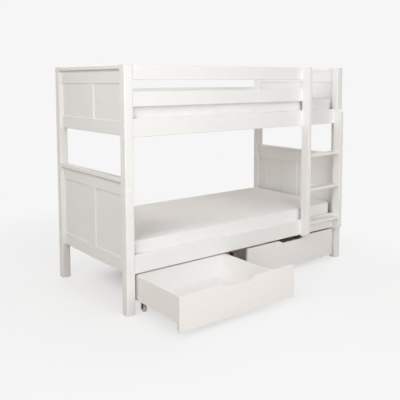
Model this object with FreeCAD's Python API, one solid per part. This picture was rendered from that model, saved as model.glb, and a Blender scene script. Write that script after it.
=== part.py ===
"""White bunk bed: boarded ends, side rails, guard boards, a short ladder, slats, mattresses and
two drawers that roll on casters. The left drawer stands pulled out and the right one is pushed in."""
import FreeCAD, Part
import math
import os

# Millimetres. The datum is the middle of the front-left post's foot, on the floor.
# +X runs along the bed to the ladder end, +Y from the front to the rear, +Z up.

# ---------------------------------------------------------------- mattresses
MATTRESS_LENGTH = 1900.0
MATTRESS_WIDTH = 900.0
MATTRESS_THICKNESS = 163.0
MATTRESS_CROWN = 6.0
MATTRESS_CORNER = 45.0
MATTRESS_EDGE = 12.0            # width and height of the rounded-over edge
MATTRESS_DRAW_IN = 4.0          # how far each side pulls in between its corners
MATTRESS_END_GAP = 23.0         # mattress to the boarded end
MATTRESS_SIDE_GAP = 1.0         # mattress to the side rail

# ---------------------------------------------------------------- posts
POST_SIZE = 60.0
POST_ROUND = 6.0
LOWER_POST_HEIGHT = 860.0
UPPER_POST_HEIGHT = 695.0
DOWEL_RADIUS = 6.0              # joins an upper post to the lower one
DOWEL_LENGTH = 80.0
DOWEL_SIDES = 12

# ---------------------------------------------------------------- boarded ends
END_BOTTOM = 256.0              # floor to the lower end's bottom rail
UPPER_END_RISE = 260.0          # lower post's top to the upper end's bottom rail
END_RAIL_HEIGHT = 90.0
END_FRAME_RECESS = 23.0         # post's outer face to the frame's outer face
END_FRAME_THICKNESS = 24.0
MULLION_WIDTH = 90.0
END_CAP_WIDTH = 48.0
END_CAP_THICKNESS = 25.0
INFILL_THICKNESS = 10.0
INFILL_RECESS = 8.0             # frame's outer face to the infill
GROOVE_DEPTH = 8.0              # how far an infill is let into its frame
BOARDS_PER_INFILL = 4           # boards that the inner face's V-grooves mark out
V_GROOVE_WIDTH = 5.0
V_GROOVE_DEPTH = 2.5
FRAME_BEVEL = 2.0

# ---------------------------------------------------------------- side rails and guard boards
SIDE_RAIL_HEIGHT = 116.0
LOWER_RAIL_BOTTOM = 260.0       # floor to the lower side rails
UPPER_RAIL_RISE = 253.0         # lower post's top to the upper side rails
BOARD_THICKNESS = 36.0
BOARD_SETBACK = 3.0             # post's face to the board's face
BOARD_ROUND = 4.0
GUARD_HEIGHT = 92.0
REAR_GUARD_RISE = 9.0           # middle front guard to the rear guard

# ---------------------------------------------------------------- bolts
BOLT_RADIUS = 4.0
BOLT_SIDES = 6
BOLT_GRIP = 45.0                # length in the rail
SIDE_BOLT_INSET = 25.0          # post's front or rear face to a side rail's bolt
SIDE_BOLT_RISE = 68.0           # side rail's lower edge to its bolt
END_BOLT_INSET = 33.0           # post's outer end face to an end rail's bolt
CAP_RADIUS = 9.0
CAP_SIDES = 12
CAP_THICKNESS = 2.0

# ---------------------------------------------------------------- ladder
STILE_WIDTH = 34.0
STILE_DEPTH = 68.0
STILE_DROP = 8.0                # lower side rail's lower edge to the stiles' feet
STILE_RISE = 3.0                # upper side rail's upper edge to the right stile's top
STILE_CHAMFER = 25.0
STILE_ROUND = 3.0
STILE_POST_GAP = 4.0            # right stile to the right post
LADDER_CLEAR_WIDTH = 343.0
FIRST_TREAD_TOP = 364.0
TREAD_SPACING = 265.0
TREAD_THICKNESS = 22.0
TREAD_DEPTH = 58.0
TREAD_INSET = 4.0               # stile's front edge to the tread's
TREAD_HOUSING = 8.0             # how far a tread is let into each stile
TREAD_BEVEL = 3.0

# ---------------------------------------------------------------- slats
BATTEN_SIZE = 22.0
SLAT_WIDTH = 70.0
SLAT_THICKNESS = 18.0
SLAT_PITCH = 155.0              # the most that two slats may stand apart
SLAT_END_GAP = 2.0

# ---------------------------------------------------------------- drawers
DRAWER_LEFT_GAP = 15.0          # left post to the left drawer's front
DRAWER_RIGHT_GAP = 30.0         # right drawer's front to the right post
DRAWER_MIDDLE_GAP = 3.0
DRAWER_FACE_SETBACK = 8.0       # posts' front face to a pushed-in drawer's face
DRAWER_PULLED_OUT = 455.0       # how far the left drawer stands out
DRAWER_DEPTH = 485.0            # face to back
DRAWER_BOX_WIDTH = 740.0
DRAWER_FRONT_BOTTOM = 32.0
DRAWER_TOP = 246.0
DRAWER_FRONT_THICKNESS = 18.0
DRAWER_SIDE_THICKNESS = 16.0
DRAWER_BASE_THICKNESS = 12.0
NOTCH_TOP_WIDTH = 290.0
NOTCH_BOTTOM_WIDTH = 200.0
NOTCH_DEPTH = 22.0
NOTCH_ROUND = 10.0

# ---------------------------------------------------------------- casters
CASTER_HEIGHT = 87.0
CASTER_SIDE_INSET = 54.0        # box's side to the wheel's middle
CASTER_FRONT_INSET = 48.0       # back of the drawer's front to the front axles
CASTER_REAR_INSET = 24.0        # box's back to the rear axles
CASTER_PLATE_WIDTH = 44.0
CASTER_PLATE_LENGTH = 48.0
CASTER_PLATE_THICKNESS = 3.0
CASTER_BODY_LENGTH = 40.0
CASTER_HOOD_HEIGHT = 24.0       # hood below the plate, before it narrows to the cheeks
CHEEK_SLOPE = 10.0              # height over which it narrows
CHEEK_THICKNESS = 4.0
CHEEK_RADIUS = 7.0
WHEEL_RADIUS = 25.0
WHEEL_WIDTH = 18.0
WHEEL_ROUND = 3.0
WHEEL_ROOM = 3.0                # housing to the tread
WHEEL_SIDE_ROOM = 1.0           # housing to the wheel's side
AXLE_RADIUS = 4.0
AXLE_SIDES = 12
AXLE_HEAD = 1.0                 # how far an axle stands out of each cheek
AXLE_CLEARANCE = 0.05           # running fit in the wheel

# ---------------------------------------------------------------- places worked out from the sizes
X, Y, Z = FreeCAD.Vector(1, 0, 0), FreeCAD.Vector(0, 1, 0), FreeCAD.Vector(0, 0, 1)
END_DEPTH = MATTRESS_END_GAP + END_FRAME_THICKNESS + END_FRAME_RECESS
SIDE_DEPTH = MATTRESS_SIDE_GAP + BOARD_THICKNESS + BOARD_SETBACK
BED_LENGTH = MATTRESS_LENGTH + 2 * END_DEPTH
BED_WIDTH = MATTRESS_WIDTH + 2 * SIDE_DEPTH
OUTER_LEFT = -POST_SIZE / 2
OUTER_RIGHT = OUTER_LEFT + BED_LENGTH
OUTER_FRONT = -POST_SIZE / 2
OUTER_REAR = OUTER_FRONT + BED_WIDTH
INNER_LEFT = OUTER_LEFT + POST_SIZE
INNER_RIGHT = OUTER_RIGHT - POST_SIZE
INNER_FRONT = OUTER_FRONT + POST_SIZE
INNER_REAR = OUTER_REAR - POST_SIZE
MIDDLE_X = (OUTER_LEFT + OUTER_RIGHT) / 2
MIDDLE_Y = (OUTER_FRONT + OUTER_REAR) / 2
POST_TOP = LOWER_POST_HEIGHT + UPPER_POST_HEIGHT
UPPER_END_BOTTOM = LOWER_POST_HEIGHT + UPPER_END_RISE
UPPER_RAIL_BOTTOM = LOWER_POST_HEIGHT + UPPER_RAIL_RISE
UPPER_RAIL_TOP = UPPER_RAIL_BOTTOM + SIDE_RAIL_HEIGHT
TOP_GUARD_BOTTOM = POST_TOP - GUARD_HEIGHT
MIDDLE_GUARD_BOTTOM = (UPPER_RAIL_TOP + TOP_GUARD_BOTTOM - GUARD_HEIGHT) / 2
REAR_GUARD_BOTTOM = MIDDLE_GUARD_BOTTOM + REAR_GUARD_RISE
FRONT_BOARD_FACE = OUTER_FRONT + BOARD_SETBACK
REAR_BOARD_FACE = OUTER_REAR - BOARD_SETBACK
RIGHT_STILE_LEFT = INNER_RIGHT - STILE_POST_GAP - STILE_WIDTH
LEFT_STILE_LEFT = RIGHT_STILE_LEFT - LADDER_CLEAR_WIDTH - STILE_WIDTH
LEFT_STILE_RIGHT = LEFT_STILE_LEFT + STILE_WIDTH
DRAWER_ROW = INNER_RIGHT - INNER_LEFT - DRAWER_LEFT_GAP - DRAWER_RIGHT_GAP
DRAWER_FRONT_WIDTH = (DRAWER_ROW - DRAWER_MIDDLE_GAP) / 2
WHEEL_POCKET_WIDTH = WHEEL_WIDTH + 2 * WHEEL_SIDE_ROOM
CASTER_BODY_WIDTH = WHEEL_POCKET_WIDTH + 2 * CHEEK_THICKNESS

# the two levels of boarded end: name, lower edge, upper edge with its cap
END_LEVELS = (
    ("lower", END_BOTTOM, LOWER_POST_HEIGHT),
    ("upper", UPPER_END_BOTTOM, POST_TOP),
)


# ---------------------------------------------------------------- plain shapes
def block(x0, x1, y0, y1, z0, z1):
    """A board between six planes."""
    return Part.makeBox(x1 - x0, y1 - y0, z1 - z0, FreeCAD.Vector(x0, y0, z0))


def edges_along(shape, axis, test=None):
    """The straight edges that run along an axis, those whose middle passes the test."""
    found = []
    for edge in shape.Edges:
        run = edge.Vertexes[-1].Point - edge.Vertexes[0].Point
        if run.Length > 0 and abs(run.normalize().dot(axis)) > 0.999:
            if test is None or test(edge.CenterOfMass):
                found.append(edge)
    return found


def prism(points, along, length):
    """A flat outline of straight lines, pushed along an axis."""
    corners = [FreeCAD.Vector(*point) for point in points]
    face = Part.Face(Part.makePolygon(corners + corners[:1]))
    return face.extrude(along * length)


def rod(radius, sides, start, along, length):
    """A straight rod. Its few flat sides stand in for a round one that repeats many times."""
    first = X if abs(along.dot(Z)) > 0.5 else Z
    second = along.cross(first)
    turns = [2 * math.pi * index / sides for index in range(sides)]
    rim = [start + first * (radius * math.cos(t)) + second * (radius * math.sin(t)) for t in turns]
    return prism(rim, along, length)


def row(first, last, count):
    """Evenly spaced places from the first to the last."""
    return [first + (last - first) * index / (count - 1) for index in range(count)]


def export(name, *solids):
    """One file for a piece, or for a set of like pieces."""
    shape = solids[0] if len(solids) == 1 else Part.makeCompound(list(solids))
    shape.exportStep(f"parts/{name}.step")


# ---------------------------------------------------------------- bolts
def side_bolts():
    """Bolts along the bed, through a post into a side rail or guard: start and direction."""
    front, rear = OUTER_FRONT + SIDE_BOLT_INSET, OUTER_REAR - SIDE_BOLT_INSET
    rails = [LOWER_RAIL_BOTTOM + SIDE_BOLT_RISE, UPPER_RAIL_BOTTOM + SIDE_BOLT_RISE]
    front_guards = [MIDDLE_GUARD_BOTTOM + GUARD_HEIGHT / 2, TOP_GUARD_BOTTOM + GUARD_HEIGHT / 2]
    rear_guard = [REAR_GUARD_BOTTOM + GUARD_HEIGHT / 2]
    places = [(OUTER_LEFT, front, z, X) for z in rails + front_guards]
    places += [(OUTER_RIGHT, front, z, -X) for z in rails]
    places += [(OUTER_LEFT, rear, z, X) for z in rails + rear_guard]
    places += [(OUTER_RIGHT, rear, z, -X) for z in rails + rear_guard]
    return [(FreeCAD.Vector(x, y, z), inward) for x, y, z, inward in places]


def end_bolts():
    """Bolts across the bed, through a post into the end of an end rail: start and direction."""
    places = []
    for _, bottom, top in END_LEVELS:
        for z in (bottom + END_RAIL_HEIGHT / 2, top - END_CAP_THICKNESS - END_RAIL_HEIGHT / 2):
            for x in (OUTER_LEFT + END_BOLT_INSET, OUTER_RIGHT - END_BOLT_INSET):
                places.append((FreeCAD.Vector(x, OUTER_FRONT, z), Y))
                places.append((FreeCAD.Vector(x, OUTER_REAR, z), -Y))
    return places


BOLTS = side_bolts() + end_bolts()


def bolt(start, inward):
    return rod(BOLT_RADIUS, BOLT_SIDES, start, inward, POST_SIZE + BOLT_GRIP)


def bolt_cap(start, inward):
    return rod(CAP_RADIUS, CAP_SIDES, start, -inward, CAP_THICKNESS)


def drilled(shape):
    """The shape with a hole for each bolt that passes through it."""
    box = shape.BoundBox
    near = [bolt(*place) for place in BOLTS]
    near = [shank for shank in near if box.intersect(shank.BoundBox)]
    return shape.cut(near) if near else shape


# ---------------------------------------------------------------- posts
def post_dowel(x, y):
    start = FreeCAD.Vector(x, y, LOWER_POST_HEIGHT - DOWEL_LENGTH / 2)
    return rod(DOWEL_RADIUS, DOWEL_SIDES, start, Z, DOWEL_LENGTH)


def post(x, y, bottom, top):
    """A square post with rounded edges, bored for its dowel and grooved for the infill."""
    half = POST_SIZE / 2
    body = block(x - half, x + half, y - half, y + half, bottom, top)
    body = body.makeFillet(POST_ROUND, edges_along(body, Z))
    body = body.cut(post_dowel(x, y))
    for end in ("left", "right"):
        for _, low, high in END_LEVELS:
            for infill in infill_blanks(end, low, high):
                if body.BoundBox.intersect(infill.BoundBox):
                    body = body.cut(infill)
    return drilled(body)


# ---------------------------------------------------------------- boarded ends
def end_span(end, recess, thickness):
    """The two X places of a board that is set back from the posts' outer end face."""
    if end == "left":
        return OUTER_LEFT + recess, OUTER_LEFT + recess + thickness
    return OUTER_RIGHT - recess - thickness, OUTER_RIGHT - recess


def infill_blanks(end, bottom, top):
    """The two infill panels of an end, each let into the post, the rails and the mullion."""
    x0, x1 = end_span(end, END_FRAME_RECESS + INFILL_RECESS, INFILL_THICKNESS)
    z0 = bottom + END_RAIL_HEIGHT - GROOVE_DEPTH
    z1 = top - END_CAP_THICKNESS - END_RAIL_HEIGHT + GROOVE_DEPTH
    near, far = MIDDLE_Y - MULLION_WIDTH / 2, MIDDLE_Y + MULLION_WIDTH / 2
    return (
        block(x0, x1, INNER_FRONT - GROOVE_DEPTH, near + GROOVE_DEPTH, z0, z1),
        block(x0, x1, far - GROOVE_DEPTH, INNER_REAR + GROOVE_DEPTH, z0, z1),
    )


def infill(blank, end):
    """One panel, its inner face scored with V-grooves that mark out equal boards."""
    box = blank.BoundBox
    inner, outward = (box.XMax, -1) if end == "left" else (box.XMin, 1)
    first, last = box.YMin + GROOVE_DEPTH, box.YMax - GROOVE_DEPTH
    half = V_GROOVE_WIDTH / 2
    for y in row(first, last, BOARDS_PER_INFILL + 1)[1:-1]:
        outline = (
            (inner, y - half, box.ZMin),
            (inner, y + half, box.ZMin),
            (inner + outward * V_GROOVE_DEPTH, y, box.ZMin),
        )
        blank = blank.cut(prism(outline, Z, box.ZLength))
    return blank


def end_frame(end, bottom, top):
    """The cap, the two rails and the mullion of one end."""
    x0, x1 = end_span(end, END_FRAME_RECESS, END_FRAME_THICKNESS)
    under_cap = top - END_CAP_THICKNESS
    rails = []
    for low in (bottom, under_cap - END_RAIL_HEIGHT):
        rail = block(x0, x1, INNER_FRONT, INNER_REAR, low, low + END_RAIL_HEIGHT)
        rail = rail.makeChamfer(FRAME_BEVEL, edges_along(rail, Y))
        rails.append(rail)
    near, far = MIDDLE_Y - MULLION_WIDTH / 2, MIDDLE_Y + MULLION_WIDTH / 2
    low, high = bottom + END_RAIL_HEIGHT, under_cap - END_RAIL_HEIGHT
    mullion = block(x0, x1, near, far, low, high)
    mullion = mullion.makeChamfer(FRAME_BEVEL, edges_along(mullion, Z))
    infills = list(infill_blanks(end, bottom, top))
    rails = [drilled(rail.cut(infills)) for rail in rails]
    c0, c1 = end_span(end, 0, END_CAP_WIDTH)
    cap = block(c0, c1, INNER_FRONT, INNER_REAR, under_cap, top)
    cap = cap.makeFillet(BOARD_ROUND, edges_along(cap, Y))
    return cap, rails, mullion.cut(infills)


# ---------------------------------------------------------------- side rails and guard boards
def long_board(x0, x1, y_face, inward, bottom, height):
    """A board along the bed, its outer face at y_face, with rounded long edges."""
    y0, y1 = sorted((y_face, y_face + inward * BOARD_THICKNESS))
    board = block(x0, x1, y0, y1, bottom, bottom + height)
    board = board.makeFillet(BOARD_ROUND, edges_along(board, X))
    return drilled(board)


# ---------------------------------------------------------------- ladder
def tread_tops():
    count = int((UPPER_RAIL_BOTTOM - FIRST_TREAD_TOP) // TREAD_SPACING) + 1
    return [FIRST_TREAD_TOP + TREAD_SPACING * index for index in range(count)]


def treads():
    """Flat treads with bevelled long edges, their ends let into the stiles."""
    front = FRONT_BOARD_FACE - STILE_DEPTH + TREAD_INSET
    boards = []
    for top in tread_tops():
        tread = block(
            LEFT_STILE_RIGHT - TREAD_HOUSING, RIGHT_STILE_LEFT + TREAD_HOUSING,
            front, front + TREAD_DEPTH, top - TREAD_THICKNESS, top,
        )
        boards.append(tread.makeChamfer(TREAD_BEVEL, edges_along(tread, X)))
    return boards


def stile(x0, top, top_chamfer):
    """An upright that stands in front of the boards, its front corners cut off at a slant."""
    rear = FRONT_BOARD_FACE
    front = rear - STILE_DEPTH
    bottom = LOWER_RAIL_BOTTOM - STILE_DROP
    outline = [
        (x0, rear, bottom),
        (x0, front + STILE_CHAMFER, bottom),
        (x0, front, bottom + STILE_CHAMFER),
        (x0, front, top - top_chamfer),
    ]
    if top_chamfer:
        outline.append((x0, front + top_chamfer, top))
    else:
        outline[-1] = (x0, front, top)
    outline.append((x0, rear, top))
    body = prism(outline, X, STILE_WIDTH)
    body = body.makeFillet(STILE_ROUND, edges_along(body, Z, lambda middle: middle.y < front + 1))
    return body.cut(treads())


# ---------------------------------------------------------------- slats and mattresses
def slats(rail_bottom):
    """Slats across a bunk, evenly spaced between the posts, on the battens."""
    clear = INNER_RIGHT - INNER_LEFT - SLAT_WIDTH
    count = math.ceil(clear / SLAT_PITCH) + 1
    y0 = FRONT_BOARD_FACE + BOARD_THICKNESS + SLAT_END_GAP
    y1 = REAR_BOARD_FACE - BOARD_THICKNESS - SLAT_END_GAP
    z = rail_bottom + BATTEN_SIZE
    return [
        block(x, x + SLAT_WIDTH, y0, y1, z, z + SLAT_THICKNESS)
        for x in row(INNER_LEFT, INNER_RIGHT - SLAT_WIDTH, count)
    ]


def battens(rail_bottom):
    """The two ledges that carry the slats, along the side rails' inner faces."""
    front = FRONT_BOARD_FACE + BOARD_THICKNESS
    rear = REAR_BOARD_FACE - BOARD_THICKNESS - BATTEN_SIZE
    top = rail_bottom + BATTEN_SIZE
    return [
        block(INNER_LEFT, INNER_RIGHT, y, y + BATTEN_SIZE, rail_bottom, top) for y in (front, rear)
    ]


def arc_through(*points):
    return Part.Arc(*[FreeCAD.Vector(*point) for point in points]).toShape()


def mattress_outline(inset, draw_in, z):
    """Round corners, and sides that pull in between them."""
    a, b = MATTRESS_LENGTH / 2 - inset, MATTRESS_WIDTH / 2 - inset
    r = MATTRESS_CORNER - inset
    bow = r * (1 - math.sqrt(0.5))
    edges = [
        arc_through((-a + r, -b, z), (0, -b + draw_in, z), (a - r, -b, z)),
        arc_through((a - r, -b, z), (a - bow, -b + bow, z), (a, -b + r, z)),
        arc_through((a, -b + r, z), (a - draw_in, 0, z), (a, b - r, z)),
        arc_through((a, b - r, z), (a - bow, b - bow, z), (a - r, b, z)),
        arc_through((a - r, b, z), (0, b - draw_in, z), (-a + r, b, z)),
        arc_through((-a + r, b, z), (-a + bow, b - bow, z), (-a, b - r, z)),
        arc_through((-a, b - r, z), (-a + draw_in, 0, z), (-a, -b + r, z)),
        arc_through((-a, -b + r, z), (-a + bow, -b + bow, z), (-a + r, -b, z)),
    ]
    return Part.Wire(edges)


def crowned_block(half_width, half_length, along):
    """A block that reaches past the mattress all round, its top a shallow arch over the width."""
    across = Y if along == X else X
    low, high = MATTRESS_THICKNESS - MATTRESS_CROWN, MATTRESS_THICKNESS
    past = MATTRESS_EDGE
    start = along * -(half_length + past)
    left, right = start - across * half_width, start + across * half_width
    arch = Part.Arc(right + Z * low, start + Z * high, left + Z * low).toShape()
    sides = Part.makePolygon([
        left + Z * low, left - across * past + Z * low, left - across * past - Z * past,
        right + across * past - Z * past, right + across * past + Z * low, right + Z * low,
    ])
    block_face = Part.Face(Part.Wire([*sides.Edges, arch]))
    return block_face.extrude(along * (2 * (half_length + past)))


def mattress(rail_bottom):
    """A boxed mattress: rounded-over edges, sides that pull in, and a crown in both directions."""
    height, edge = MATTRESS_THICKNESS, MATTRESS_EDGE
    shoulder = height - MATTRESS_CROWN - edge
    sections = [
        mattress_outline(edge, MATTRESS_DRAW_IN, 0),
        mattress_outline(0, MATTRESS_DRAW_IN, edge),
        mattress_outline(MATTRESS_DRAW_IN, 2 * MATTRESS_DRAW_IN, (edge + shoulder) / 2),
        mattress_outline(0, MATTRESS_DRAW_IN, shoulder),
        mattress_outline(edge, MATTRESS_DRAW_IN, height),
    ]
    body = Part.makeLoft(sections, True, True)
    crowned = crowned_block(MATTRESS_WIDTH / 2, MATTRESS_LENGTH / 2, X)
    crowned = crowned.common(crowned_block(MATTRESS_LENGTH / 2, MATTRESS_WIDTH / 2, Y))
    body = body.common(crowned)
    base = rail_bottom + BATTEN_SIZE + SLAT_THICKNESS
    body.translate(FreeCAD.Vector(MIDDLE_X, MIDDLE_Y, base))
    return body


# ---------------------------------------------------------------- drawers
def drawer_front(x0, face):
    """The tall front, with a hand notch in the middle of its upper edge."""
    middle = x0 + DRAWER_FRONT_WIDTH / 2
    notch = (
        (middle - NOTCH_TOP_WIDTH / 2, face, DRAWER_TOP),
        (middle - NOTCH_BOTTOM_WIDTH / 2, face, DRAWER_TOP - NOTCH_DEPTH),
        (middle + NOTCH_BOTTOM_WIDTH / 2, face, DRAWER_TOP - NOTCH_DEPTH),
        (middle + NOTCH_TOP_WIDTH / 2, face, DRAWER_TOP),
    )
    back = face + DRAWER_FRONT_THICKNESS
    front = block(x0, x0 + DRAWER_FRONT_WIDTH, face, back, DRAWER_FRONT_BOTTOM, DRAWER_TOP)
    front = front.cut(prism(notch, Y, DRAWER_FRONT_THICKNESS))
    reach = (NOTCH_TOP_WIDTH + NOTCH_ROUND) / 2
    corners = edges_along(front, Y, lambda point: abs(point.x - middle) < reach)
    return front.makeFillet(NOTCH_ROUND, corners)


def drawer_box(x0, face):
    """The left and right sides, the back and the base of one drawer."""
    x1 = x0 + DRAWER_BOX_WIDTH
    y0, y1 = face + DRAWER_FRONT_THICKNESS, face + DRAWER_DEPTH
    board = DRAWER_SIDE_THICKNESS
    return {
        "left_side": block(x0, x0 + board, y0, y1, CASTER_HEIGHT, DRAWER_TOP),
        "right_side": block(x1 - board, x1, y0, y1, CASTER_HEIGHT, DRAWER_TOP),
        "back": block(x0 + board, x1 - board, y1 - board, y1, CASTER_HEIGHT, DRAWER_TOP),
        "base": block(
            x0 + board, x1 - board, y0, y1 - board,
            CASTER_HEIGHT, CASTER_HEIGHT + DRAWER_BASE_THICKNESS,
        ),
    }


# ---------------------------------------------------------------- casters
def axle(x, y):
    length = CASTER_BODY_WIDTH + 2 * AXLE_HEAD
    start = FreeCAD.Vector(x - length / 2, y, WHEEL_RADIUS)
    return rod(AXLE_RADIUS, AXLE_SIDES, start, X, length)


def caster_housing(x, y):
    """A moulded hood under a screw plate, with two slim cheeks down to the axle."""
    x0 = x - CASTER_BODY_WIDTH / 2
    top = CASTER_HEIGHT - CASTER_PLATE_THICKNESS
    hood = top - CASTER_HOOD_HEIGHT
    half = CASTER_BODY_LENGTH / 2
    sides = Part.makePolygon([
        FreeCAD.Vector(x0, y - CHEEK_RADIUS, WHEEL_RADIUS),
        FreeCAD.Vector(x0, y - CHEEK_RADIUS, hood - CHEEK_SLOPE),
        FreeCAD.Vector(x0, y - half, hood),
        FreeCAD.Vector(x0, y - half, top),
        FreeCAD.Vector(x0, y + half, top),
        FreeCAD.Vector(x0, y + half, hood),
        FreeCAD.Vector(x0, y + CHEEK_RADIUS, hood - CHEEK_SLOPE),
        FreeCAD.Vector(x0, y + CHEEK_RADIUS, WHEEL_RADIUS),
    ])
    foot = arc_through(
        (x0, y + CHEEK_RADIUS, WHEEL_RADIUS),
        (x0, y, WHEEL_RADIUS - CHEEK_RADIUS),
        (x0, y - CHEEK_RADIUS, WHEEL_RADIUS),
    )
    body = Part.Face(Part.Wire([*sides.Edges, foot])).extrude(X * CASTER_BODY_WIDTH)
    room = WHEEL_RADIUS + WHEEL_ROOM
    p0 = x - WHEEL_POCKET_WIDTH / 2
    pocket = block(p0, p0 + WHEEL_POCKET_WIDTH, y - room, y + room, 0, WHEEL_RADIUS + room)
    wide, long = CASTER_PLATE_WIDTH / 2, CASTER_PLATE_LENGTH / 2
    plate = block(x - wide, x + wide, y - long, y + long, top, CASTER_HEIGHT)
    return body.cut([pocket, axle(x, y)]).fuse(plate).removeSplitter()


def wheel(x, y):
    """A solid wheel with rounded shoulders, turned about its axle."""
    half, bore = WHEEL_WIDTH / 2, AXLE_RADIUS + AXLE_CLEARANCE
    profile = [
        FreeCAD.Vector(-half, 0, bore),
        FreeCAD.Vector(half, 0, bore),
        FreeCAD.Vector(half, 0, WHEEL_RADIUS - WHEEL_ROUND),
        FreeCAD.Vector(half - WHEEL_ROUND, 0, WHEEL_RADIUS),
        FreeCAD.Vector(WHEEL_ROUND - half, 0, WHEEL_RADIUS),
        FreeCAD.Vector(-half, 0, WHEEL_RADIUS - WHEEL_ROUND),
    ]
    face = Part.Face(Part.makePolygon(profile + profile[:1]))
    body = face.revolve(FreeCAD.Vector(0, 0, 0), X, 360)
    body.translate(FreeCAD.Vector(x, y, WHEEL_RADIUS))
    return body


# ---------------------------------------------------------------- the whole bed
def build_posts():
    corners = {
        "front_left": (OUTER_LEFT, OUTER_FRONT), "front_right": (INNER_RIGHT, OUTER_FRONT),
        "rear_left": (OUTER_LEFT, INNER_REAR), "rear_right": (INNER_RIGHT, INNER_REAR),
    }
    dowels = []
    for name, (x0, y0) in corners.items():
        x, y = x0 + POST_SIZE / 2, y0 + POST_SIZE / 2
        export(f"lower_post_{name}", post(x, y, 0, LOWER_POST_HEIGHT))
        export(f"upper_post_{name}", post(x, y, LOWER_POST_HEIGHT, POST_TOP))
        dowels.append(post_dowel(x, y))
    export("post_dowels", *dowels)


def build_ends():
    for end in ("left", "right"):
        for level, bottom, top in END_LEVELS:
            cap, rails, mullion = end_frame(end, bottom, top)
            panels = [infill(blank, end) for blank in infill_blanks(end, bottom, top)]
            export(f"{level}_{end}_end_cap", cap)
            export(f"{level}_{end}_end_rails", *rails)
            export(f"{level}_{end}_end_mullion", mullion)
            export(f"{level}_{end}_end_infill", *panels)


def build_rails():
    for level, bottom in (("lower", LOWER_RAIL_BOTTOM), ("upper", UPPER_RAIL_BOTTOM)):
        for side, face, inward in (("front", FRONT_BOARD_FACE, 1), ("rear", REAR_BOARD_FACE, -1)):
            rail = long_board(INNER_LEFT, INNER_RIGHT, face, inward, bottom, SIDE_RAIL_HEIGHT)
            export(f"{level}_side_rail_{side}", rail)
    for name, bottom in (("middle", MIDDLE_GUARD_BOTTOM), ("top", TOP_GUARD_BOTTOM)):
        board = long_board(
            INNER_LEFT, LEFT_STILE_RIGHT, FRONT_BOARD_FACE, 1, bottom, GUARD_HEIGHT,
        )
        export(f"front_guard_{name}", board)
    rear = long_board(INNER_LEFT, INNER_RIGHT, REAR_BOARD_FACE, -1, REAR_GUARD_BOTTOM, GUARD_HEIGHT)
    export("rear_guard", rear)
    export("bolts", *[bolt(*place) for place in BOLTS])
    export("bolt_caps", *[bolt_cap(*place) for place in BOLTS])


def build_ladder():
    export("ladder_stile_left", stile(LEFT_STILE_LEFT, POST_TOP, 0))
    export("ladder_stile_right", stile(RIGHT_STILE_LEFT, UPPER_RAIL_TOP + STILE_RISE, STILE_CHAMFER))
    export("ladder_treads", *treads())


def build_bunks():
    export("slat_battens", *battens(LOWER_RAIL_BOTTOM), *battens(UPPER_RAIL_BOTTOM))
    for level, bottom in (("lower", LOWER_RAIL_BOTTOM), ("upper", UPPER_RAIL_BOTTOM)):
        export(f"{level}_slats", *slats(bottom))
        export(f"{level}_mattress", mattress(bottom))


def build_drawer(name, front_x, box_x, pulled_out):
    face = OUTER_FRONT + DRAWER_FACE_SETBACK - pulled_out
    export(f"{name}_drawer_front", drawer_front(front_x, face))
    for piece, shape in drawer_box(box_x, face).items():
        export(f"{name}_drawer_{piece}", shape)
    columns = (box_x + CASTER_SIDE_INSET, box_x + DRAWER_BOX_WIDTH - CASTER_SIDE_INSET)
    rows = {
        "front": face + DRAWER_FRONT_THICKNESS + CASTER_FRONT_INSET,
        "rear": face + DRAWER_DEPTH - CASTER_REAR_INSET,
    }
    places = [(x, y) for y in rows.values() for x in columns]
    export(f"{name}_drawer_caster_housings", *[caster_housing(*place) for place in places])
    export(f"{name}_drawer_caster_axles", *[axle(*place) for place in places])
    for end, y in rows.items():
        export(f"{name}_drawer_{end}_wheels", *[wheel(x, y) for x in columns])


def build_drawers():
    left_front = INNER_LEFT + DRAWER_LEFT_GAP
    right_front = left_front + DRAWER_FRONT_WIDTH + DRAWER_MIDDLE_GAP
    right_box = right_front + DRAWER_FRONT_WIDTH - DRAWER_BOX_WIDTH
    build_drawer("left", left_front, left_front, DRAWER_PULLED_OUT)
    build_drawer("right", right_front, right_box, 0)


os.makedirs("parts", exist_ok=True)
build_posts()
build_ends()
build_rails()
build_ladder()
build_bunks()
build_drawers()
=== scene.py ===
"""Looks for the white bunk bed: paint, board, pine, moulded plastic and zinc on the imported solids,
and mattress covers, their piping and the bolts' cover caps made here. Metres, in the row frame."""
import math

import bmesh
import bpy
import numpy as np
from mathutils import Matrix, Vector


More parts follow.
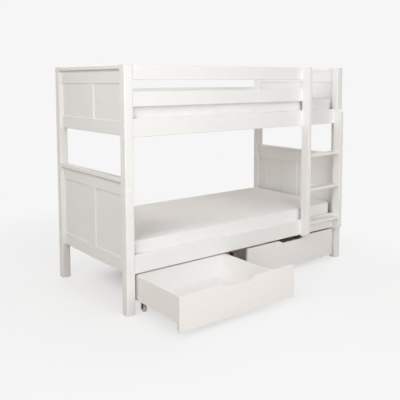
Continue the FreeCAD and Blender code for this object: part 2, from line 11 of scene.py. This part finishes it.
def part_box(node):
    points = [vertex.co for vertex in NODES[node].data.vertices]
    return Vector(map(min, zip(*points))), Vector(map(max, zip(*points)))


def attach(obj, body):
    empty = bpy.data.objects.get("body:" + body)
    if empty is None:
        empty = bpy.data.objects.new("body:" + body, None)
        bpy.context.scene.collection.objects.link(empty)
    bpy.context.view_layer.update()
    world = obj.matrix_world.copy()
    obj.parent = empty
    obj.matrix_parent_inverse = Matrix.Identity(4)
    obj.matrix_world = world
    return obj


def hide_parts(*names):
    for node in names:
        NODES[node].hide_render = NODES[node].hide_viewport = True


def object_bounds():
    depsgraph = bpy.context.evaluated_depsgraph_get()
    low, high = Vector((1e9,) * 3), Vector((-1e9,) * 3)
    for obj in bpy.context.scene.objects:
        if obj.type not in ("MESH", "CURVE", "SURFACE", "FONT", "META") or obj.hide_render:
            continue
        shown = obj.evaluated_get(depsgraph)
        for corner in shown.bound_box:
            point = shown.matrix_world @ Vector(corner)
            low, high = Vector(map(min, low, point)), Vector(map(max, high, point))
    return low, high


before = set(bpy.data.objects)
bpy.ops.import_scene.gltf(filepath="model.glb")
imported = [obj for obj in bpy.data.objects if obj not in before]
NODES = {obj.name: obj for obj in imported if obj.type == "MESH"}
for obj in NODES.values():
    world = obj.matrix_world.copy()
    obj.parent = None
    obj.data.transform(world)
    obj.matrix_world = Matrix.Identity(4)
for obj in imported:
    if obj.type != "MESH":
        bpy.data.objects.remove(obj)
CAD_BOX = [[float(value) for value in corner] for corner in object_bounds()]
scene = bpy.context.scene

SAME_PLACE = 1e-5                       # vertices nearer than this are one vertex


# ---------------------------------------------------------------- camera
PHOTO_SIDE = 400                        # pixels along each side of the photograph
CAMERA_FOCAL = 581.2                    # in those pixels
CAMERA_SHIFT = 0.165                    # in frame widths
CAMERA_YAW, CAMERA_PITCH, CAMERA_ROLL = 37.911, 5.232, -0.127           # degrees
CAMERA_PLACE = (-1.8107, -3.0514, 1.4567)
CLIP_NEAR, CLIP_FAR = 0.05, 60
SENSOR_WIDTH = 36                       # millimetres


def make_camera():
    """The photograph's viewpoint, solved from its edges with the lens shifted, not tilted."""
    yaw, pitch, roll = (math.radians(a) for a in (CAMERA_YAW, CAMERA_PITCH, CAMERA_ROLL))
    forward = Vector((math.sin(yaw) * math.cos(pitch), math.cos(yaw) * math.cos(pitch),
                      -math.sin(pitch)))
    right = Vector((math.cos(yaw), -math.sin(yaw), 0))
    up = right.cross(forward)
    right, up = (right * math.cos(roll) + up * math.sin(roll),
                 up * math.cos(roll) - right * math.sin(roll))
    data = bpy.data.cameras.new("camera")
    data.sensor_width = SENSOR_WIDTH
    data.lens = CAMERA_FOCAL / PHOTO_SIDE * SENSOR_WIDTH
    data.shift_y = -CAMERA_SHIFT
    data.clip_start, data.clip_end = CLIP_NEAR, CLIP_FAR
    camera = bpy.data.objects.new("camera", data)
    turn = Matrix((right, up, -forward)).transposed()
    camera.matrix_world = Matrix.Translation(CAMERA_PLACE) @ turn.to_4x4()
    scene.collection.objects.link(camera)
    scene.camera = camera


make_camera()


# ---------------------------------------------------------------- node helpers
EVEN = (1, 1, 1)                        # a pattern that isn't stretched


def shader(name):
    """A new material, its tree and its Principled shader."""
    material = bpy.data.materials.new(name)
    material.use_nodes = True
    tree = material.node_tree
    return material, tree, tree.nodes["Principled BSDF"]


def feed(tree, node, **inputs):
    """Gives a node its inputs, by name or by number from i0: a value, or a socket to link."""
    for key, value in inputs.items():
        numbered = key[0] == "i" and key[1:].isdigit()
        socket = node.inputs[int(key[1:]) if numbered else key.replace("_", " ")]
        if isinstance(value, bpy.types.NodeSocket):
            tree.links.new(value, socket)
        else:
            socket.default_value = value


def put(tree, kind, settings=None, **inputs):
    """A new node with its settings and its inputs."""
    node = tree.nodes.new("ShaderNode" + kind)
    for key, value in (settings or {}).items():
        setattr(node, key, value)
    feed(tree, node, **inputs)
    return node


def place(tree, scale):
    """Object coordinates in metres, stretched by a scale for each axis."""
    where = put(tree, "TexCoord").outputs["Object"]
    return put(tree, "Mapping", Vector=where, Scale=scale).outputs["Vector"]


def noise(tree, size, detail=3, rough=0.5, scale=EVEN):
    """Noise from 0 to 1: size is the spots per metre, and scale stretches the axes."""
    return put(tree, "TexNoise", Vector=place(tree, scale), Scale=size, Detail=detail,
               Roughness=rough).outputs["Fac"]


def wave(tree, where, size, direction, **inputs):
    """Bands from 0 to 1 across a direction."""
    return put(tree, "TexWave", {"wave_type": "BANDS", "bands_direction": direction},
               Vector=where, Scale=size, **inputs).outputs["Fac"]


def between(tree, factor, low, high, start=0.3, end=0.7):
    """A value or colour that runs from low to high as the factor goes from start to end."""
    ramp = put(tree, "ValToRGB", Fac=factor)
    for stop, at, value in zip(ramp.color_ramp.elements, (start, end), (low, high)):
        stop.position = at
        stop.color = (value, value, value, 1) if isinstance(value, float) else (*value, 1)
    return ramp.outputs["Color"]


def smoothstep(tree, value, start, end, low=0.0, high=1.0):
    """A value that eases from low to high as another goes from start to end."""
    return put(tree, "MapRange", {"interpolation_type": "SMOOTHSTEP"}, Value=value,
               i1=start, i2=end, i3=low, i4=high).outputs[0]


def calc(tree, operation, *values):
    """What a Math node makes of one or two values."""
    inputs = {f"i{index}": value for index, value in enumerate(values)}
    return put(tree, "Math", {"operation": operation}, **inputs).outputs[0]


def blend(tree, share, one, other, kind="MIX"):
    """A colour that goes from one to another, or from one to their product, with the share."""
    return put(tree, "Mix", {"data_type": "RGBA", "blend_type": kind}, i0=share, i6=one,
               i7=other).outputs[2]


def bump(tree, height, distance, strength, **under):
    """The normal of a relief, laid over another when it is given as Normal."""
    return put(tree, "Bump", Height=height, Distance=distance, Strength=strength,
               **under).outputs["Normal"]


def shaded(color, share):
    """A colour times a share, kept within 1."""
    return tuple(min(1.0, part * share) for part in color)


# ---------------------------------------------------------------- materials
def painted_wood(name, along, color):
    """Satin paint on solid wood: brushed film, the grain just telegraphing along the board."""
    material, tree, bsdf = shader(name)
    stretch = [1.0, 1.0, 1.0]
    stretch["XYZ".index(along)] = 0.03
    cloud = noise(tree, 2.5, detail=4)
    grain = noise(tree, 420, detail=5, rough=0.6, scale=stretch)
    tone = between(tree, cloud, shaded(color, 0.985), shaded(color, 1.012))
    streak = between(tree, grain, 0.985, 1.0, start=0.25, end=0.6)
    film = blend(tree, 1.0, tone, streak, "MULTIPLY")
    peel = noise(tree, 260, detail=2)
    normal = bump(tree, grain, 0.00022, 0.35)
    normal = bump(tree, peel, 0.00025, 0.3, Normal=normal)
    feed(tree, bsdf, Base_Color=film, Normal=normal,
         Roughness=between(tree, noise(tree, 14, detail=4), 0.36, 0.48),
         Coat_Weight=0.12, Coat_Roughness=0.25, Specular_IOR_Level=0.45)
    return material


def painted_board(name, color):
    """Sprayed board: a fine even film, a little warmer than the wood's."""
    material, tree, bsdf = shader(name)
    tone = between(tree, noise(tree, 3.5, detail=4), shaded(color, 0.988), color)
    normal = bump(tree, noise(tree, 700, detail=2), 0.00015, 0.35)
    feed(tree, bsdf, Base_Color=tone, Normal=normal,
         Roughness=between(tree, noise(tree, 20), 0.42, 0.52), Specular_IOR_Level=0.4)
    return material


def pine(name):
    """Planed, unfinished pine: growth rings drawn out along the slat, fine pores, a few knots."""
    material, tree, bsdf = shader(name)
    warp = noise(tree, 18, scale=(1, 0.12, 1))
    where = place(tree, (1, 0.045, 1))
    bent = put(tree, "Mix", {"data_type": "VECTOR"}, i0=0.035, i4=where,
               i5=put(tree, "CombineXYZ", X=warp, Y=warp, Z=warp).outputs[0])
    rings = wave(tree, bent.outputs[1], 55, "X", Distortion=3.5, Detail=3, Detail_Scale=1.4)
    pores = noise(tree, 900, rough=0.7, scale=(1, 0.02, 1))
    tone = between(tree, rings, (0.60, 0.42, 0.25), (0.78, 0.63, 0.44), start=0.1, end=0.75)
    fleck = between(tree, pores, 0.82, 1.0, start=0.3, end=0.55)
    body = blend(tree, 1.0, tone, fleck, "MULTIPLY")
    cells = put(tree, "TexVoronoi", Vector=place(tree, (1, 0.55, 1)), Scale=7, Randomness=1.0)
    knot = between(tree, cells.outputs["Distance"], 1.0, 0.0, start=0.035, end=0.075)
    color = blend(tree, knot, body, (0.30, 0.16, 0.08, 1))
    normal = bump(tree, pores, 0.0003, 0.4)
    feed(tree, bsdf, Base_Color=color, Normal=normal, Roughness=between(tree, pores, 0.72, 0.6))
    return material


def knitted(name, color):
    """A white knitted cover: loops in rows, painted shade in the hollows between them, a soft sheen
    and a slightly cloudy tone.
    """
    material, tree, bsdf = shader(name)
    rows, cross = (wave(tree, place(tree, scale), 190, "DIAGONAL", Distortion=1.2, Detail=1,
                        Detail_Scale=2) for scale in (EVEN, (1, -1, 1)))
    loops = calc(tree, "MULTIPLY", rows, cross)
    fluff = noise(tree, 1500, detail=2)
    tone = between(tree, noise(tree, 6, detail=4), shaded(color, 0.975), color)
    # painted shade: the yarn's colour darkens where the loops' relief is low, in the hollows between
    # them
    shade = between(tree, loops, 0.955, 1.0, start=0.0, end=0.6)
    yarn_with_painted_shade = blend(tree, 1.0, tone, shade, "MULTIPLY")
    normal = bump(tree, loops, 0.0006, 0.45)
    normal = bump(tree, fluff, 0.0003, 0.3, Normal=normal)
    feed(tree, bsdf, Base_Color=yarn_with_painted_shade, Normal=normal, Roughness=0.92, Specular_IOR_Level=0.2,
         Sheen_Weight=0.18, Sheen_Roughness=0.5)
    return material


def plated(name):
    """Bright zinc plate with drawn scratches and cloudy patches."""
    material, tree, bsdf = shader(name)
    cloud = noise(tree, 60, detail=4)
    lines = noise(tree, 2600, scale=(0.06, 1, 1))
    feed(tree, bsdf, Base_Color=between(tree, cloud, (0.52, 0.53, 0.55), (0.70, 0.71, 0.72)),
         Roughness=between(tree, lines, 0.24, 0.42), Normal=bump(tree, lines, 0.00008, 0.4),
         Metallic=1.0)
    return material


def moulded(name, color, rough):
    """Moulded plastic: a fine spark-eroded grain and a faint flow tone."""
    material, tree, bsdf = shader(name)
    tone = between(tree, noise(tree, 45), shaded(color, 0.93), color)
    pits = noise(tree, 1200, detail=2)
    feed(tree, bsdf, Base_Color=tone, Normal=bump(tree, pits, 0.00012, 0.4),
         Roughness=between(tree, noise(tree, 150), rough - 0.06, rough + 0.06))
    return material


PAINT = (0.88, 0.88, 0.87)
paint = {axis: painted_wood("white_paint_" + axis.lower(), axis, PAINT) for axis in "XYZ"}
drawer_board = painted_board("drawer_board", (0.89, 0.875, 0.865))
slat_wood = pine("slat_wood")
fabric = knitted("mattress_fabric", (0.92, 0.92, 0.92))
zinc = plated("zinc_steel")
cap_plastic = moulded("cap_plastic", (0.93, 0.93, 0.93), 0.3)
caster_black = moulded("caster_plastic", (0.03, 0.03, 0.03), 0.45)
wheel_grey = moulded("wheel_plastic", (0.80, 0.79, 0.77), 0.5)


def material_for(name):
    """The material of a node. Painted wood has its grain along the board."""
    if "mattress" in name:
        return fabric
    if "caster_housings" in name:
        return caster_black
    if "wheels" in name:
        return wheel_grey
    if name == "bolt_caps":
        return cap_plastic
    if name in ("bolts", "post_dowels") or "axles" in name:
        return zinc
    if "slat" in name:
        return slat_wood
    if "drawer" in name:
        return drawer_board
    if "post" in name or "stile" in name or "mullion" in name or "infill" in name:
        return paint["Z"]
    if "_end_" in name:
        return paint["Y"]
    return paint["X"]


ARRIS = 0.0014                          # width of the rounded edge of a sawn board
SHARP = math.radians(40)                # edges that turn by more than this are rounded


def soften(node):
    """A small rounded arris on a sawn board, made after its split edges are joined."""
    weld = node.modifiers.new("join", "WELD")
    weld.merge_threshold = SAME_PLACE
    bevel = node.modifiers.new("arris", "BEVEL")
    bevel.width, bevel.segments, bevel.limit_method = ARRIS, 2, "ANGLE"
    bevel.angle_limit = SHARP
    bevel.harden_normals = True


for name, node in NODES.items():
    finish = material_for(name)
    node.data.materials.clear()
    node.data.materials.append(finish)
    if finish in (drawer_board, slat_wood):
        soften(node)


# ---------------------------------------------------------------- pieces
def piece(name, mesh, material, body, slot, *replaced):
    """An object on a body, with its material, in place of the nodes it replaces. The slot argument
    is not used.
    """
    made = bpy.data.objects.new(name, mesh)
    scene.collection.objects.link(made)
    mesh.materials.append(material)
    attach(made, body)
    if replaced:
        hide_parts(*replaced)
    return made


def mesh_of(name, bm, smooth=True):
    """A mesh from a bmesh, which is freed, with its faces turned outward."""
    mesh = bpy.data.meshes.new(name)
    bmesh.ops.recalc_face_normals(bm, faces=bm.faces)
    bm.to_mesh(mesh)
    bm.free()
    for face in mesh.polygons:
        face.use_smooth = smooth
    return mesh


CORNER, EDGE = 0.045, 0.014             # plan radius of a corner, and of a rounded-over edge
EDGE_STEPS = (0, 0.005, 0.010, EDGE)    # rows of quads over an edge, and then round a corner
CORNER_STEPS = (*EDGE_STEPS, 0.022, 0.032, CORNER)
PLAN_STEP, HEIGHT_STEP = 0.022, 0.017   # about the side of a quad between them
COVER_SLACK = 0.006                     # how much smaller a cover is sewn than its solid
COVER_REACH, COVER_PRESSURE = 0.006, 3.0
CLOTH_FRAMES = 20
PIPING_RADIUS, PIPING_SIDES = 0.003, 8


def graded(length, fine, step):
    """Places from 0 to length, close together over each end."""
    inner = length - 2 * fine[-1]
    count = max(2, round(inner / step))
    middle = [fine[-1] + inner * index / count for index in range(1, count)]
    return [*fine, *middle, *[length - f for f in reversed(fine)]]


def boxed_shell(size):
    """A closed skin of quads over a box, round in its corners and over its edges, foot at z 0.
    The rings where the top and the foot meet the border come back as the seams."""
    sx, sy, sz = size
    xs, ys = graded(sx, CORNER_STEPS, PLAN_STEP), graded(sy, CORNER_STEPS, PLAN_STEP)
    zs = graded(sz, EDGE_STEPS, HEIGHT_STEP)
    bm, seen = bmesh.new(), {}

    def rounded(x, y, z):
        """Where a place on the plain box goes."""
        cx = max(-(sx / 2 - CORNER), min(sx / 2 - CORNER, x))
        cy = max(-(sy / 2 - CORNER), min(sy / 2 - CORNER, y))
        dx, dy = x - cx, y - cy
        reach, far = max(abs(dx), abs(dy)), math.hypot(dx, dy)
        if dx and dy:
            dx, dy = dx * reach / far, dy * reach / far
        near = min(sx / 2 - abs(x), sy / 2 - abs(y))      # how far in from the outline
        low = min(z, sz - z)
        if near < EDGE and low < EDGE:
            turn = math.radians(45 * (1 - near / EDGE) if low < 1e-9 else 45 * (1 + low / EDGE))
            scale = (CORNER - EDGE + EDGE * math.sin(turn)) / math.hypot(dx, dy)
            dx, dy = dx * scale, dy * scale
            height = EDGE * (1 - math.cos(turn))
            z = height if z < sz / 2 else sz - height
        return cx + dx, cy + dy, z

    def corner(x, y, z):
        """The vertex at a place on the plain box, made once."""
        key = (round(x, 6), round(y, 6), round(z, 6))
        if key not in seen:
            seen[key] = bm.verts.new(rounded(x - sx / 2, y - sy / 2, z))
        return seen[key]

    def sheet(us, vs, where):
        """One side of the box in quads."""
        for u0, u1 in zip(us, us[1:]):
            for v0, v1 in zip(vs, vs[1:]):
                quad = ((u0, v0), (u1, v0), (u1, v1), (u0, v1))
                bm.faces.new([corner(*where(u, v)) for u, v in quad])

    for z in (0, sz):
        sheet(xs, ys, lambda u, v: (u, v, z))
    for y in (0, sy):
        sheet(xs, zs, lambda u, v: (u, y, v))
    for x in (0, sx):
        sheet(ys, zs, lambda u, v: (x, u, v))
    bm.verts.index_update()
    round_trip = ([(x, 0) for x in xs] + [(sx, y) for y in ys[1:]]
                  + [(x, sy) for x in reversed(xs[:-1])] + [(0, y) for y in reversed(ys[1:-1])])
    seams = [[corner(x, y, z).index for x, y in round_trip] for z in (sz, 0)]
    return bm, seams


def inflate(made, held):
    """Cloth under pressure with its seams held, moved at most about COVER_REACH."""
    group = made.vertex_groups.new(name="held")
    group.add(held, 1.0, "REPLACE")
    cloth = made.modifiers.new("cloth", "CLOTH")
    settings = cloth.settings
    settings.quality, settings.mass = 5, 0.3
    settings.tension_stiffness = settings.compression_stiffness = 12
    settings.shear_stiffness, settings.bending_stiffness = 5, 2
    settings.use_pressure, settings.uniform_pressure_force = True, COVER_PRESSURE
    settings.vertex_group_mass = "held"
    settings.effector_weights.gravity = 0
    cloth.collision_settings.use_collision = False
    cloth.point_cache.frame_end = CLOTH_FRAMES
    for step in range(1, CLOTH_FRAMES + 1):
        scene.frame_set(step)
    swollen = made.evaluated_get(bpy.context.evaluated_depsgraph_get()).data
    count = len(made.data.vertices)
    before, after = np.empty(count * 3), np.empty(count * 3)
    made.data.vertices.foreach_get("co", before)
    swollen.vertices.foreach_get("co", after)
    made.modifiers.remove(cloth)
    made.vertex_groups.remove(group)
    scene.frame_set(1)
    before, move = before.reshape(-1, 3), (after - before).reshape(-1, 3)
    length = np.linalg.norm(move, axis=1, keepdims=True)
    share = COVER_REACH * np.tanh(length / COVER_REACH) / np.maximum(length, 1e-9)
    made.data.vertices.foreach_set("co", (before + move * share).ravel())


def around(count):
    """The angles of evenly spaced places round a circle."""
    return [2 * math.pi * index / count for index in range(count)]


def piping(mesh, seams):
    """Round piping sewn along each seam, half sunk in the cover."""
    bm, up = bmesh.new(), Vector((0, 0, 1))
    for seam in seams:
        points = [mesh.vertices[index].co.copy() for index in seam]
        count, rings = len(points), []
        for index, point in enumerate(points):
            along = (points[(index + 1) % count] - points[index - 1]).normalized()
            out = along.cross(up).normalized()
            rings.append([bm.verts.new(point + PIPING_RADIUS * (out * math.cos(a)
                                                                + up * math.sin(a)))
                          for a in around(PIPING_SIDES)])
        for index in range(count):
            one, two = rings[index], rings[(index + 1) % count]
            for k in range(PIPING_SIDES):
                after = (k + 1) % PIPING_SIDES
                bm.faces.new((one[k], one[after], two[after], two[k]))
    return bm


def make_mattresses():
    """One cover is swollen as cloth between its sewn edges, and lies on both bunks."""
    low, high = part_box("lower_mattress")
    bm, seams = boxed_shell([high[axis] - low[axis] - COVER_SLACK for axis in range(3)])
    mesh = mesh_of("mattress_cover", bm)
    cover = bpy.data.objects.new("swelling", mesh)
    scene.collection.objects.link(cover)
    top_seam = set(seams[0])
    held = [v.index for v in mesh.vertices if v.co.z < EDGE * 0.3 or v.index in top_seam]
    inflate(cover, held)
    bpy.data.objects.remove(cover)
    for level, half_turn in (("lower", 0), ("upper", math.pi)):
        low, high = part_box(level + "_mattress")
        where = Matrix.Translation(((low.x + high.x) / 2, (low.y + high.y) / 2, low.z))
        where = where @ Matrix.Rotation(half_turn, 4, "Z")
        skin = mesh.copy()
        skin.transform(where)
        made = piece(level + "_mattress_cover", skin, fabric, "bed", "mattress_fabric",
                     level + "_mattress")
        smooth = made.modifiers.new("smooth", "SUBSURF")
        smooth.levels = smooth.render_levels = 1
        trim = level + "_mattress_piping"
        piece(trim, mesh_of(trim, piping(skin, seams)), fabric, "bed", "mattress_fabric")


make_mattresses()


TURNED_SIDES = 32
CAP_PROFILE = ((1, 0), (1, 0.35), (0.97, 0.55), (0.90, 0.66), (0.82, 0.66), (0.76, 0.74),
               (0.55, 0.90), (0.28, 0.98), (0, 1))      # shares of a cap's radius and height


def islands(node):
    """The centre and size of each separate solid of a node, from its own mesh."""
    bm = bmesh.new()
    bm.from_mesh(NODES[node].data)
    bmesh.ops.remove_doubles(bm, verts=bm.verts, dist=SAME_PLACE)
    left, found = set(bm.verts), []
    while left:
        stack, group = [left.pop()], []
        while stack:
            vert = stack.pop()
            group.append(vert.co.copy())
            for edge in vert.link_edges:
                other = edge.other_vert(vert)
                if other in left:
                    left.discard(other)
                    stack.append(other)
        low = Vector([min(p[axis] for p in group) for axis in range(3)])
        high = Vector([max(p[axis] for p in group) for axis in range(3)])
        found.append(((low + high) / 2, high - low))
    bm.free()
    return sorted(found, key=lambda pair: tuple(round(v, 4) for v in pair[0]))


def turned(bm, profile, base, outward):
    """A turned form: its profile is (radius, height) from its base outward, to a point."""
    spin = Vector((0, 0, 1)).rotation_difference(outward).to_matrix()
    rings = []
    for radius, height in profile:
        places = ([(0, 0, height)] if radius == 0 else
                  [(radius * math.cos(a), radius * math.sin(a), height)
                   for a in around(TURNED_SIDES)])
        rings.append([bm.verts.new(base + spin @ Vector(where)) for where in places])
    for lower, upper in zip(rings, rings[1:]):
        for index in range(TURNED_SIDES):
            after = (index + 1) % TURNED_SIDES
            if len(upper) == 1:
                bm.faces.new((lower[index], lower[after], upper[0]))
            else:
                bm.faces.new((lower[index], lower[after], upper[after], upper[index]))


def cap_covers():
    """Press-in cover caps over the bolts, slightly domed, with a thin rolled rim."""
    bm = bmesh.new()
    low, high = CAD_BOX
    for centre, size in islands("bolt_caps"):
        axis = min(range(3), key=lambda a: size[a])
        sign = -1 if centre[axis] < (low[axis] + high[axis]) / 2 else 1
        outward = Vector([sign if a == axis else 0 for a in range(3)])
        radius, tall = max(size) / 2, size[axis]
        profile = [(radius * across, tall * up) for across, up in CAP_PROFILE]
        turned(bm, profile, centre - outward * tall / 2, outward)
    piece("bolt_cover_caps", mesh_of("bolt_cover_caps", bm), cap_plastic, "bed", "cap_plastic",
          "bolt_caps")


cap_covers()


# ---------------------------------------------------------------- floor, world and lamps
BACKGROUND = (0.922, 0.922, 0.922, 1)   # the photograph's pale backdrop
FLOOR_SEEN = (0.90, 0.90, 0.90, 1)
FLOOR_BOUNCE = (0.54, 0.48, 0.42, 1)    # what the floor sends back as light
FLOOR_RADIUS, FLOOR_SIDES, FLOOR_DROP = 9.0, 96, 0.0005
FLOOR_CENTRE = (0.99, 0.46)             # under the middle of the bed
FADE_FROM, FADE_TO = 3.0, FLOOR_RADIUS * 0.85           # from its centre, where it thins out
VEIL = 0.7                              # share of the backdrop's plain tone over its shadows,
VEIL_NEAR, VEIL_FAR = 1.2, 3.0          # which rises to 1 between these distances
UNDER_MIDDLE = {"X": (0.95, 0.33), "Y": (0.51, 0.18)}   # from the centre: veil whole, veil gone
WASH_FROM = (-0.66, 0.75, 0.0)          # towards the left end and the back
WASH, WASH_LOW = (0.50, 0.475, 0.45, 1), (0.17, 0.17, 0.17, 1)
WASH_START, WASH_END = -0.4, 0.8        # how far a ray faces it
LAMPS = (                               # name, place, aim, diameter and power in watts
    ("key", (-0.1, -3.8, 2.8), (0.9, 0.2, 0.8), 3.0, 62),
    ("front_low", (0.1, -4.3, 1.2), (0.9, 0.2, 0.8), 3.0, 54),
    ("left", (-2.8, -1.4, 3.2), (0.4, 0.3, 0.9), 2.0, 68),
    ("right", (5.0, 0.9, 2.2), (2.0, 0.4, 0.8), 2.0, 80),
    ("top", (0.9, 0.3, 4.8), (0.9, 0.3, 0.8), 3.0, 16),
    ("back", (0.8, 3.4, 3.2), (0.9, 0.3, 0.8), 2.0, 28),
)


def seen_directly(tree):
    """1 for rays from the camera, a mirror or a lens, and 0 for the light that falls on things."""
    path = put(tree, "LightPath").outputs
    both = calc(tree, "MAXIMUM", path["Is Camera Ray"], path["Is Glossy Ray"])
    return calc(tree, "MAXIMUM", both, path["Is Transmission Ray"])


def under_middle(tree, where):
    """1 on the floor under the middle of the bed, where its drawers keep the light out, else 0."""
    places = put(tree, "SeparateXYZ", i0=where).outputs
    along, across = (smoothstep(tree, calc(tree, "ABSOLUTE", places[axis]), start, end)
                     for axis, (start, end) in UNDER_MIDDLE.items())
    return calc(tree, "MULTIPLY", along, across)


def make_floor():
    """A floor that shows the bed's shadow faintly and thins out into the backdrop."""
    bm = bmesh.new()
    bmesh.ops.create_circle(bm, cap_ends=True, radius=FLOOR_RADIUS, segments=FLOOR_SIDES)
    floor = bpy.data.objects.new("floor", mesh_of("floor", bm, smooth=False))
    floor.location = (*FLOOR_CENTRE, -FLOOR_DROP)
    scene.collection.objects.link(floor)
    material = bpy.data.materials.new("floor")
    material.use_nodes = True
    tree = material.node_tree
    tree.nodes.clear()
    seen = seen_directly(tree)
    lit = put(tree, "BsdfDiffuse", Color=blend(tree, seen, FLOOR_BOUNCE, FLOOR_SEEN))
    plain = put(tree, "Emission", Color=BACKGROUND, Strength=1.0)
    where = put(tree, "TexCoord").outputs["Object"]
    away = put(tree, "VectorMath", {"operation": "LENGTH"}, i0=where).outputs["Value"]
    thick = smoothstep(tree, away, VEIL_NEAR, VEIL_FAR, low=VEIL)
    open_floor = calc(tree, "SUBTRACT", 1.0, under_middle(tree, where))
    veil = calc(tree, "MULTIPLY", calc(tree, "MULTIPLY", seen, thick), open_floor)
    veiled = put(tree, "MixShader", i0=veil, i1=lit.outputs[0], i2=plain.outputs[0])
    fade = smoothstep(tree, away, FADE_FROM, FADE_TO)
    clear = put(tree, "BsdfTransparent")
    faded = put(tree, "MixShader", i0=fade, i1=veiled.outputs[0], i2=clear.outputs[0])
    put(tree, "OutputMaterial", Surface=faded.outputs[0])
    floor.data.materials.append(material)


def make_world():
    """A warm wash from behind and from the left end, so that the shadows are warm and not deep."""
    world = bpy.data.worlds.new("studio")
    scene.world = world
    world.use_nodes = True
    tree = world.node_tree
    tree.nodes.clear()
    seen = seen_directly(tree)
    way = put(tree, "TexCoord").outputs["Generated"]
    toward = put(tree, "VectorMath", {"operation": "DOT_PRODUCT"}, i0=way,
                 i1=WASH_FROM).outputs["Value"]
    light = blend(tree, smoothstep(tree, toward, WASH_START, WASH_END), WASH_LOW, WASH)
    back = put(tree, "Background", Color=blend(tree, seen, light, BACKGROUND), Strength=1.0)
    put(tree, "OutputWorld", Surface=back.outputs[0])


def lamp(name, where, aim, size, power):
    """A round area lamp that the camera doesn't see."""
    data = bpy.data.lights.new(name, "AREA")
    data.shape, data.size, data.energy = "DISK", size, power
    light = bpy.data.objects.new(name, data)
    light.location = where
    light.visible_camera = False
    light.rotation_mode = "QUATERNION"
    light.rotation_quaternion = (Vector(aim) - Vector(where)).to_track_quat("-Z", "Y")
    scene.collection.objects.link(light)


make_floor()
make_world()
for settings in LAMPS:
    lamp(*settings)
scene.view_settings.view_transform = "Standard"
